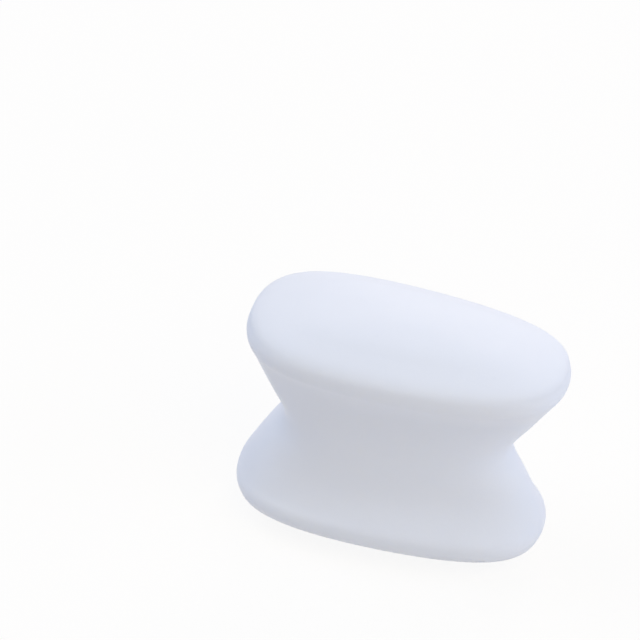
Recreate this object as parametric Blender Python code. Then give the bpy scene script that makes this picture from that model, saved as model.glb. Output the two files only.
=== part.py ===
"""Toe separator: one block of soft white gel, moulded in one shot.

It is a bobbin. Two like oval pads, above and below, are joined by a waist that is hollowed all round. The
hollow along each long side is the saddle that a toe lies in, and the pads keep the waist from slipping out
between the two toes. The block stands on its lower pad, with its long axis along X and the toes to its sides
along Y. It is symmetrical about its middle plane, so one half is lofted and the other is its mirror image.
"""
import math

import bmesh
import bpy
from mathutils import Vector

# Pads, in metres. Length and width are taken across the widest plane of the rim.
PAD_LENGTH = 0.0350
PAD_WIDTH = 0.0183
PAD_SQUARENESS = 2.7         # power of the plan outline, where 2 is an ellipse
PAD_TAPER = 0.09             # how much wider the -X end is than the middle, and how much narrower the +X end
RIM_SPACING = 0.0214         # between the widest planes of the two pads
RIM_RADIUS = 0.0017          # rounding between a pad's flank and its outer face
PAD_RISE = 0.0038            # from the widest plane to the highest part of the outer face

# Outer face of a pad: it falls away to the rim outside a flat ring, and sinks slightly inside it.
LAND_SHARE = 0.46            # outer edge of the flat ring, as a share of the way from the centre to the rim
LAND_BAND = 0.0008           # width of the flat ring across the block
SINK_DEPTH = 0.00035         # how deep the middle lies below the ring
CROWN_POWER = 2.0            # how the face falls away: 2 is a parabola, higher is flatter with a steeper edge

# Waist, halfway up
WAIST_LENGTH = 0.0252
WAIST_WIDTH = 0.0142
WAIST_SQUARENESS = 2.8
WAIST_TAPER = 0.12
END_ROOT = 0.0027            # height over which the hollow's bottom is rounded, at the two ends
SIDE_ROOT = 0.0075           # the same along the two toe saddles

# Colour and finish of the gel
GEL_COLOR = (0.80, 0.83, 0.90, 1.0)
GEL_ROUGHNESS = 0.55

# Fineness of the loft
SIDES = 72
FLANK_ROWS = 9
RIM_ROWS = 6
CROWN_ROWS = 5
SINK_ROWS = 3

HALF_HEIGHT = RIM_SPACING / 2 + PAD_RISE


def power_outline(turn, length, width, squareness, taper):
    """Point of a tapered superellipse at an angle around it."""
    c, s = math.cos(turn), math.sin(turn)
    x = math.copysign(abs(c) ** (2 / squareness), c)
    y = math.copysign(abs(s) ** (2 / squareness), s)
    return Vector((x * length / 2, y * (1 - taper * x) * width / 2, 0))


def pad_outline(turn):
    return power_outline(turn, PAD_LENGTH, PAD_WIDTH, PAD_SQUARENESS, PAD_TAPER)


def waist_outline(turn):
    return power_outline(turn, WAIST_LENGTH, WAIST_WIDTH, WAIST_SQUARENESS, WAIST_TAPER)


def even_turns(count, steps=4000):
    """Angles that space the pad outline's points evenly along it."""
    turns = [2 * math.pi * i / steps for i in range(steps + 1)]
    points = [pad_outline(t) for t in turns]
    walked = [0.0]
    for a, b in zip(points, points[1:]):
        walked.append(walked[-1] + (b - a).length)
    chosen, at = [], 0
    for i in range(count):
        while walked[at + 1] < walked[-1] * i / count:
            at += 1
        chosen.append(turns[at])
    return chosen


def outward(turn, step=1e-3):
    """The pad outline's outward normal."""
    along = (pad_outline(turn + step) - pad_outline(turn - step)).normalized()
    return Vector((along.y, -along.x, 0))


def flare(share, root):
    """Share of the way from waist to rim at a share of the height: a straight flank with a rounded bottom."""
    k = root / (RIM_SPACING / 2)
    return (math.hypot(share, k) - k) / (math.hypot(1, k) - k)


def flank_point(turn, share, inset, height):
    """Point of the flank, from the waist at share 0 to the rim's rounding at share 1."""
    rim = pad_outline(turn) - outward(turn) * inset
    waist = waist_outline(turn)
    x_share, y_share = flare(share, END_ROOT), flare(share, SIDE_ROOT)
    grown_x = (WAIST_LENGTH + (PAD_LENGTH - WAIST_LENGTH) * x_share) / 2
    grown_y = (WAIST_WIDTH + (PAD_WIDTH - WAIST_WIDTH) * y_share) / 2
    x = grown_x * (waist.x / WAIST_LENGTH * (1 - share) + rim.x / PAD_LENGTH * share) * 2
    y = grown_y * (waist.y / WAIST_WIDTH * (1 - share) + rim.y / PAD_WIDTH * share) * 2
    return Vector((x, y, height * share))


def rim_start(turn):
    """Angle below the widest plane at which the rim's rounding leaves the flank, so that the two are tangent."""
    angle = 0.0
    for _ in range(4):
        inset = RIM_RADIUS * (1 - math.cos(angle))
        height = RIM_SPACING / 2 + RIM_RADIUS * math.sin(angle)
        top, below = (flank_point(turn, share, inset, height) for share in (1.0, 0.97))
        angle = -math.atan((top - below).dot(outward(turn)) / (top.z - below.z))
    return angle


def rim_end(turn):
    """Angle above the widest plane at which the rim's rounding meets the outer face, so that the two are tangent."""
    angle = math.radians(60)
    reach = pad_outline(turn).dot(outward(turn))
    for _ in range(12):
        rise = PAD_RISE - RIM_RADIUS * math.sin(angle)
        run = (reach - RIM_RADIUS * (1 - math.cos(angle))) * (1 - LAND_SHARE)
        angle = (angle + math.atan2(run, CROWN_POWER * rise)) / 2
    return angle


def rim_point(turn, angle):
    inset = RIM_RADIUS * (1 - math.cos(angle))
    return pad_outline(turn) - outward(turn) * inset + Vector((0, 0, RIM_SPACING / 2 + RIM_RADIUS * math.sin(angle)))


def face_point(turn, share):
    """Point of the outer face, from its centre at share 0 to the rim's rounding at share 1."""
    edge = rim_point(turn, rim_end(turn))
    inner = LAND_SHARE - LAND_BAND / (PAD_WIDTH / 2)
    if share > LAND_SHARE:
        fallen = (share - LAND_SHARE) / (1 - LAND_SHARE)
        height = HALF_HEIGHT - (HALF_HEIGHT - edge.z) * fallen ** CROWN_POWER
    elif share < inner:
        height = HALF_HEIGHT - SINK_DEPTH * (1 + math.cos(math.pi * share / inner)) / 2
    else:
        height = HALF_HEIGHT
    return Vector((edge.x * share, edge.y * share, height))


def upper_half_rings():
    """Rings of points from the waist to the middle of the outer face."""
    turns = even_turns(SIDES)
    starts = [rim_start(t) for t in turns]
    ends = [rim_end(t) for t in turns]
    rings = []
    for row in range(FLANK_ROWS):
        ring = []
        for turn, start in zip(turns, starts):
            inset = RIM_RADIUS * (1 - math.cos(start))
            height = RIM_SPACING / 2 + RIM_RADIUS * math.sin(start)
            ring.append(flank_point(turn, row / FLANK_ROWS, inset, height))
        rings.append(ring)
    for row in range(RIM_ROWS):
        rings.append([rim_point(t, a + (b - a) * row / RIM_ROWS) for t, a, b in zip(turns, starts, ends)])
    inner = LAND_SHARE - LAND_BAND / (PAD_WIDTH / 2)
    shares = [1 - (1 - LAND_SHARE) * row / CROWN_ROWS for row in range(CROWN_ROWS + 1)]
    shares += [inner * (1 - row / SINK_ROWS) for row in range(SINK_ROWS)]
    for share in shares:
        rings.append([face_point(t, share) for t in turns])
    return rings


def loft(bm, rings, centre):
    """Quads between neighbouring rings, and a fan that closes the last one."""
    loops = [[bm.verts.new(p) for p in ring] for ring in rings]
    for low, high in zip(loops, loops[1:]):
        for i in range(len(low)):
            j = (i + 1) % len(low)
            bm.faces.new((low[i], low[j], high[j], high[i]))
    tip = bm.verts.new(centre)
    for i in range(len(loops[-1])):
        bm.faces.new((loops[-1][i], loops[-1][(i + 1) % len(loops[-1])], tip))


def gel_material():
    material = bpy.data.materials.new("white_gel")
    material.use_nodes = True
    shader = material.node_tree.nodes["Principled BSDF"]
    shader.inputs["Base Color"].default_value = GEL_COLOR
    shader.inputs["Roughness"].default_value = GEL_ROUGHNESS
    shader.inputs["Metallic"].default_value = 0.0
    material.diffuse_color = GEL_COLOR
    return material


def separator_body():
    """The whole block: the upper half lofted, then mirrored in the middle plane."""
    bm = bmesh.new()
    loft(bm, upper_half_rings(), Vector((0, 0, HALF_HEIGHT - SINK_DEPTH)))
    mesh = bpy.data.meshes.new("separator_body")
    bm.to_mesh(mesh)
    bm.free()
    mesh.shade_smooth()
    mesh.materials.append(gel_material())
    body = bpy.data.objects.new("separator_body", mesh)
    bpy.context.scene.collection.objects.link(body)
    body.location.z = HALF_HEIGHT
    mirror = body.modifiers.new("lower half", "MIRROR")
    mirror.use_axis = (False, False, True)
    mirror.use_clip = True
    mirror.merge_threshold = 0.00001
    return body


for old in list(bpy.data.objects):
    bpy.data.objects.remove(old, do_unlink=True)
separator_body()
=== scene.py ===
import math

import bpy
from mathutils import Matrix, Vector


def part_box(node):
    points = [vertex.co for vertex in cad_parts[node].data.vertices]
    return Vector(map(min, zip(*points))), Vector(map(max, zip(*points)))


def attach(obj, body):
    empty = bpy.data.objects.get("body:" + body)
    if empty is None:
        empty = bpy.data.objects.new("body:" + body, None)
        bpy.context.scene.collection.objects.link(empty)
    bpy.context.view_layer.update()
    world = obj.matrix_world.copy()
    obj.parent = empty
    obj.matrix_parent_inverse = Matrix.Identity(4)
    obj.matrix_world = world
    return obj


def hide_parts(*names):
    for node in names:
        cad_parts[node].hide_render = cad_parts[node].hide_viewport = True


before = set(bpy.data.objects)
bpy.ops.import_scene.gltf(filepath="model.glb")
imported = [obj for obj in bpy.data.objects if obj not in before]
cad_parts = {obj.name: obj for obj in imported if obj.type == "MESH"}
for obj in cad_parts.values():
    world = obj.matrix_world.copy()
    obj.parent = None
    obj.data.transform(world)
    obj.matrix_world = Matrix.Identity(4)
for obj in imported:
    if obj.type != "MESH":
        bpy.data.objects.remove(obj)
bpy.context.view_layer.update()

# The gel body
#
# The real piece is one block of soft white gel, cast in one shot in a two-part mould that leaves it matt. It has an
# oval pad above and below and a waist hollowed all round. Each pad's rim is a narrow band between two soft edges, and
# its outer face is slightly crowned.

MM = 0.001
node_low, node_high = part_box("separator_body")
middle = (node_low + node_high) / 2
height = node_high.z - node_low.z

# Rows of the cage round the upper half, in millimetres: height above the waist, half length, half width.
GEL_ROWS = (
    (0.00, 12.70, 7.10),     # waist
    (3.45, 15.30, 7.25),     # the hollow's rounded bottom
    (6.35, 16.90, 7.70),     # flank
    (8.90, 18.20, 9.25),     # top of the flank
    (9.55, 18.55, 9.75),     # lower edge of the rim
    (10.10, 18.75, 9.97),    # band of the rim
    (10.80, 18.80, 9.97),
    (11.50, 18.45, 9.80),    # upper edge of the rim
    (12.35, 18.40, 8.97),    # the face, falling away to the rim
    (13.30, 14.60, 6.85),
    (14.00, 11.20, 5.65),    # shoulder of the face
    (14.50, 7.00, 3.45),
    (14.80, 3.20, 1.65),     # middle of the face
)
PLAN_ROUNDING = 0.51         # 0 leaves the rows square in plan, 1 makes them round
PAD_TAPER = 0.095            # narrower by this share at the +X end, wider at the -X end
WAIST_TAPER = 0.25
TAPER_SPLIT = 7.3            # height above the waist at which the waist's taper gives way to the pad's
BAND_DROP = 0.3              # how much lower the rim's band lies along the long sides than at the ends
BAND_CORNER_SHARE = 0.7      # share of that drop towards the corners
BAND_ROWS = {2: 0.5, 3: 1.0, 4: 1.0, 5: 0.7}     # index of each row that the drop moves, and its share of the drop
SIDE_REACH = 3               # a row's points farther than this from the long axis lie along a long side
MIDDLE_REACH = 1             # points nearer than this to the middle count as being at it
LEVEL_REACH = 0.01           # and this close to a row's height, as being in that row
GEL_SUBDIVISIONS = 4


def pick(obj, wanted):
    """Selects a mesh's vertices by their place in millimetres."""
    bpy.ops.object.mode_set(mode="OBJECT")
    for face in obj.data.polygons:
        face.select = False
    for edge in obj.data.edges:
        edge.select = False
    for vertex in obj.data.vertices:
        vertex.select = bool(wanted(vertex.co / MM))
    bpy.ops.object.mode_set(mode="EDIT")
    bpy.ops.mesh.select_mode(type="VERT")


def finish_modifier(obj, kind, **settings):
    """Adds a modifier to the active object and applies it."""
    modifier = obj.modifiers.new(kind.lower(), kind)
    for name, value in settings.items():
        setattr(modifier, name, value)
    bpy.ops.object.modifier_apply(modifier=modifier.name)


def narrow_end(obj, side, taper, wanted):
    """Brings the points at one end nearer to the long axis by a share of their distance, or away from it at -X."""
    pick(obj, lambda co: co.x * side > MIDDLE_REACH and wanted(co.z))
    bpy.ops.transform.resize(value=(1, 1 - taper * side, 1), center_override=(0, 0, 0))


for item in list(bpy.context.selected_objects):
    item.select_set(False)
bpy.ops.mesh.primitive_grid_add(x_subdivisions=2, y_subdivisions=2, size=2, location=(0, 0, 0))
gel = bpy.context.object
gel.name = "gel_body"
bpy.ops.object.mode_set(mode="EDIT")
bpy.ops.mesh.select_all(action="SELECT")
bpy.ops.transform.tosphere(value=PLAN_ROUNDING)
bpy.ops.object.mode_set(mode="OBJECT")
reach = max(v.co.x for v in gel.data.vertices if abs(v.co.y) < 0.1)
bpy.ops.object.mode_set(mode="EDIT")
bpy.ops.transform.resize(value=(GEL_ROWS[0][1] * MM / reach, GEL_ROWS[0][2] * MM / reach, 1))
for below, row in zip(GEL_ROWS, GEL_ROWS[1:]):
    bpy.ops.mesh.extrude_region_move(TRANSFORM_OT_translate={"value": (0, 0, (row[0] - below[0]) * MM)})
    bpy.ops.transform.resize(value=(row[1] / below[1], row[2] / below[2], 1), center_override=(0, 0, 0))
for index, share in BAND_ROWS.items():
    level = GEL_ROWS[index][0]
    pick(gel, lambda co: abs(co.z - level) < LEVEL_REACH and abs(co.y) > SIDE_REACH and abs(co.x) < MIDDLE_REACH)
    bpy.ops.transform.translate(value=(0, 0, -BAND_DROP * share * MM))
    pick(gel, lambda co: abs(co.z - level) < LEVEL_REACH and abs(co.y) > SIDE_REACH and abs(co.x) > MIDDLE_REACH)
    bpy.ops.transform.translate(value=(0, 0, -BAND_CORNER_SHARE * BAND_DROP * share * MM))
for side in (-1, 1):
    narrow_end(gel, side, PAD_TAPER, lambda z: z > TAPER_SPLIT)
    narrow_end(gel, side, WAIST_TAPER, lambda z: z < TAPER_SPLIT)

# The grid's own middle point would stay inside the block, so it goes before the lower half is mirrored.
pick(gel, lambda co: co.z < 0.1 and co.xy.length < 0.1)
bpy.ops.mesh.delete(type="VERT")
bpy.ops.object.mode_set(mode="OBJECT")
finish_modifier(gel, "MIRROR", use_axis=(False, False, True), use_clip=True, merge_threshold=MM / 100)
bpy.ops.object.mode_set(mode="EDIT")
bpy.ops.mesh.select_all(action="SELECT")
bpy.ops.mesh.normals_make_consistent(inside=False)
bpy.ops.object.mode_set(mode="OBJECT")
finish_modifier(gel, "SUBSURF", levels=GEL_SUBDIVISIONS, render_levels=GEL_SUBDIVISIONS)

# Subdivision draws the cage in, so the block is brought to its height and stood on the table.
gel.scale.z = height / gel.dimensions.z
gel.location = middle
bpy.ops.object.transform_apply(location=True, rotation=False, scale=True)
bpy.ops.object.shade_smooth()


class Wire:
    """A shader socket that takes part in sums: an operator adds its Math node."""

    def __init__(self, tree, socket=None):
        self.tree, self.socket = tree, socket

    def node(self, kind, inputs=(), output=0, **settings):
        """Adds a node of any kind, and gives the wire of one of its outputs."""
        made = self.tree.nodes.new(kind)
        for name, value in settings.items():
            setattr(made, name, value)
        for name, value in dict(inputs).items():
            if isinstance(value, Wire):
                self.tree.links.new(value.socket, made.inputs[name])
            else:
                made.inputs[name].default_value = value
        return Wire(self.tree, made.outputs[output])

    def sibling(self, output):
        """The wire of another output of the same node."""
        return Wire(self.tree, self.socket.node.outputs[output])

    def into(self, socket):
        self.tree.links.new(self.socket, socket)

    def math(self, operation, first, second, clamp=False):
        return self.node("ShaderNodeMath", {0: first, 1: second}, operation=operation, use_clamp=clamp)

    def vector(self, operation, second=(0, 0, 0)):
        output = 1 if operation in ("DOT_PRODUCT", "LENGTH") else 0
        return self.node("ShaderNodeVectorMath", {0: self, 1: second}, output=output, operation=operation)

    def __add__(self, other):
        return self.math("ADD", self, other)

    __radd__ = __add__

    def __sub__(self, other):
        return self.math("SUBTRACT", self, other)

    def __rsub__(self, other):
        return self.math("SUBTRACT", other, self)

    def __mul__(self, other):
        return self.math("MULTIPLY", self, other)

    __rmul__ = __mul__

    def __abs__(self):
        return self.math("ABSOLUTE", self, 0.0)

    def clamped(self):
        return self.math("ADD", self, 0.0, clamp=True)


def new_material(name):
    """A material, its shader node, and the Object coordinates as the first wire."""
    material = bpy.data.materials.new(name)
    material.use_nodes = True
    tree = material.node_tree
    return material, tree.nodes["Principled BSDF"], Wire(tree).node("ShaderNodeTexCoord", output="Object")


def mixed(factor, first, second):
    """One colour turned into another by a factor."""
    return factor.node("ShaderNodeMix", {"Factor": factor, 6: first, 7: second}, output=2, data_type="RGBA")


GEL_WHITE = (0.825, 0.855, 0.915, 1)
GEL_CLOUD = (0.805, 0.835, 0.895, 1)
# The darker colour below is painted shade, for the fold and the dents.
GEL_PAINTED_SHADE = (0.50, 0.53, 0.60, 1)
CLOUD_SCALE = 120.0          # cells of the gel's faint cloudiness, per metre
GRAIN_SCALE = 2600.0         # and of the mould's matt grain
GEL_ROUGHNESS = 0.48
GRAIN_ROUGHNESS = 0.12       # added to it where the grain stands up
GEL_SPECULAR = 0.3
SOFTNESS = 0.25              # share of the light that enters the gel
SOFT_DEPTH = 2.0 * MM

# A short fold of the skin under the rim near the wide end, and two pinhead dents on the face.
# Both are carved into the bump and darkened in colour: painted shade in the fold and the dents.
CREASE_MIDDLE = (-13.8 * MM, -7.1 * MM, 23.3 * MM)
CREASE_ACROSS = (0.32, -0.57, 0.75)
CREASE_HALF_WIDTH = 0.13 * MM
CREASE_HALF_LENGTH = 0.85 * MM
CREASE_PAINTED_SHADE = 0.35
MARK_MIDDLES = ((-2.8 * MM, -4.3 * MM, 28.45 * MM), (10.35 * MM, -5.45 * MM, 27.3 * MM))
MARK_RADIUS = 0.28 * MM
MARK_DEPTH = 0.12            # as a share of the crease's

gel_finish, shader, place = new_material("white_gel")
cloud = place.node("ShaderNodeTexNoise", {"Vector": place, "Scale": CLOUD_SCALE, "Detail": 3.0, "Roughness": 0.6})
grain = place.node("ShaderNodeTexNoise", {"Vector": place, "Scale": GRAIN_SCALE, "Detail": 2.0, "Roughness": 0.5})
off = place.vector("SUBTRACT", CREASE_MIDDLE)
near = (1 - off.vector("LENGTH") * (1 / CREASE_HALF_LENGTH)).clamped()
crease = (1 - abs(off.vector("DOT_PRODUCT", CREASE_ACROSS)) * (1 / CREASE_HALF_WIDTH)).clamped() * near
for mark in MARK_MIDDLES:
    away = place.vector("SUBTRACT", mark).vector("LENGTH")
    crease = crease + MARK_DEPTH * (1 - away * (1 / MARK_RADIUS)).clamped()
# Painted shade: the base colour, faintly clouded, is darkened towards the shade colour in the fold and the dents.
cloud_and_painted_shade = mixed(CREASE_PAINTED_SHADE * crease, mixed(cloud, GEL_CLOUD, GEL_WHITE), GEL_PAINTED_SHADE)
relief = place.node("ShaderNodeBump", {"Height": grain + 2.0 * cloud - 4.0 * crease, "Strength": 0.12,
                                       "Distance": 0.05 * MM})
cloud_and_painted_shade.into(shader.inputs["Base Color"])
(GEL_ROUGHNESS + GRAIN_ROUGHNESS * grain).into(shader.inputs["Roughness"])
relief.into(shader.inputs["Normal"])
shader.inputs["Subsurface Weight"].default_value = SOFTNESS
shader.inputs["Subsurface Radius"].default_value = (1.0, 1.0, 1.0)
shader.inputs["Subsurface Scale"].default_value = SOFT_DEPTH
shader.inputs["Specular IOR Level"].default_value = GEL_SPECULAR
gel.data.materials.append(gel_finish)

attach(gel, "root")
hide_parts("separator_body")

# The table
#
# A plain white sheet that the block stands on. It is seen as white, darkened only where the block keeps the light
# off it.

TABLE_SIZE = 1.2
TABLE_GAP = 0.02 * MM        # keeps the sheet clear of the block's lowest face
TABLE_COLOR = (0.94, 0.90, 0.84, 1)
TABLE_ROUGHNESS = 0.9
SHADOW_SHARE = 0.10          # how much of the lit table shows through the white
WHITE = (1, 1, 1, 1)


def seen_directly(tree):
    """1 for the rays that show the backdrop to the eye, straight or by way of gloss or glass, 0 for the light's."""
    ray = Wire(tree).node("ShaderNodeLightPath", output="Is Camera Ray")
    return ray + ray.sibling("Is Glossy Ray") + ray.sibling("Is Transmission Ray")


bpy.ops.mesh.primitive_plane_add(size=TABLE_SIZE, location=(0, 0, -TABLE_GAP))
table = bpy.context.object
table.name = "table"
table_finish, shader, place = new_material("table_white")
shader.inputs["Base Color"].default_value = TABLE_COLOR
shader.inputs["Roughness"].default_value = TABLE_ROUGHNESS
tree = table_finish.node_tree
white = place.node("ShaderNodeEmission", {"Color": WHITE, "Strength": 1.0})
shown = place.node("ShaderNodeMixShader", {"Fac": seen_directly(tree) * (1 - SHADOW_SHARE),
                                           1: Wire(tree, shader.outputs[0]), 2: white})
shown.into(tree.nodes["Material Output"].inputs["Surface"])
table.data.materials.append(table_finish)

# Light
#
# Even studio light: a pale blue room all round and four large soft boxes. A blue one stands at the narrow end, a
# white one high at the wide end, a warm one behind, and an amber one high in front.

ROOM_COLOR = (0.62, 0.72, 1.0, 1)
ROOM_STRENGTH = 0.39
LAMP_SIZE = 0.36
LAMP_DISTANCE = 0.5

world = bpy.data.worlds.new("room")
bpy.context.scene.world = world
world.use_nodes = True
tree = world.node_tree
room = tree.nodes["Background"]
room.inputs["Color"].default_value = ROOM_COLOR
room.inputs["Strength"].default_value = ROOM_STRENGTH
seen = seen_directly(tree)
backdrop = seen.node("ShaderNodeBackground", {"Color": WHITE, "Strength": 1.0})
both = seen.node("ShaderNodeMixShader", {"Fac": seen, 1: Wire(tree, room.outputs[0]), 2: backdrop})
both.into(tree.nodes["World Output"].inputs["Surface"])


def soft_lamp(name, azimuth, elevation, power, color):
    """A round soft box aimed at the block's middle."""
    data = bpy.data.lights.new(name, "AREA")
    data.shape = "DISK"
    data.size = LAMP_SIZE
    data.energy = power
    data.color = color
    lamp = bpy.data.objects.new(name, data)
    bpy.context.scene.collection.objects.link(lamp)
    a, e = math.radians(azimuth), math.radians(elevation)
    way = Vector((math.cos(a) * math.cos(e), math.sin(a) * math.cos(e), math.sin(e)))
    lamp.location = middle + LAMP_DISTANCE * way
    lamp.rotation_euler = (-way).to_track_quat("-Z", "Y").to_euler()


soft_lamp("lamp_right", 0, 30, 0.75, (0.54, 0.69, 1.00))
soft_lamp("lamp_left", 180, 55, 0.91, (0.85, 0.91, 1.00))
soft_lamp("lamp_rear", 90, 30, 0.72, (1.00, 0.85, 0.69))
soft_lamp("lamp_front", 315, 55, 0.90, (1.00, 0.83, 0.47))

# Camera
#
# It looks down on the broad side, a little from the narrow end, and is rolled so that the block slopes down to
# the right.

SENSOR = 36.0
CLIP_START = 0.01
PHOTO_PIXELS = 640
FOCAL_PIXELS = 2300
BLOCK_MIDDLE_PIXEL = (399.6, 419.1)
CAMERA_AZIMUTH = 9.65
CAMERA_ELEVATION = 39.05
CAMERA_ROLL = 7.1
CAMERA_DISTANCE = 0.2554

camera_data = bpy.data.cameras.new("camera")
camera_data.lens = FOCAL_PIXELS / PHOTO_PIXELS * SENSOR
camera_data.sensor_width = SENSOR
camera_data.clip_start = CLIP_START
camera = bpy.data.objects.new("camera", camera_data)
bpy.context.scene.collection.objects.link(camera)
bpy.context.scene.camera = camera
azimuth, elevation, roll = (math.radians(a) for a in (CAMERA_AZIMUTH, CAMERA_ELEVATION, CAMERA_ROLL))
towards = Vector((-math.sin(azimuth) * math.cos(elevation), math.cos(azimuth) * math.cos(elevation),
                  -math.sin(elevation)))

# The camera stays turned away from the block by the angle at which the photograph shows it off its middle.
aim = Vector(((BLOCK_MIDDLE_PIXEL[0] - PHOTO_PIXELS / 2) / FOCAL_PIXELS,
              -(BLOCK_MIDDLE_PIXEL[1] - PHOTO_PIXELS / 2) / FOCAL_PIXELS, -1))
turned = aim.rotation_difference(Vector((0, 0, -1))).to_matrix()
level = towards.to_track_quat("-Z", "Y").to_matrix()
camera.matrix_world = (Matrix.Translation(middle - towards * CAMERA_DISTANCE)
                       @ (level @ Matrix.Rotation(roll, 3, "Z") @ turned).to_4x4())

bpy.context.scene.view_settings.view_transform = "Standard"
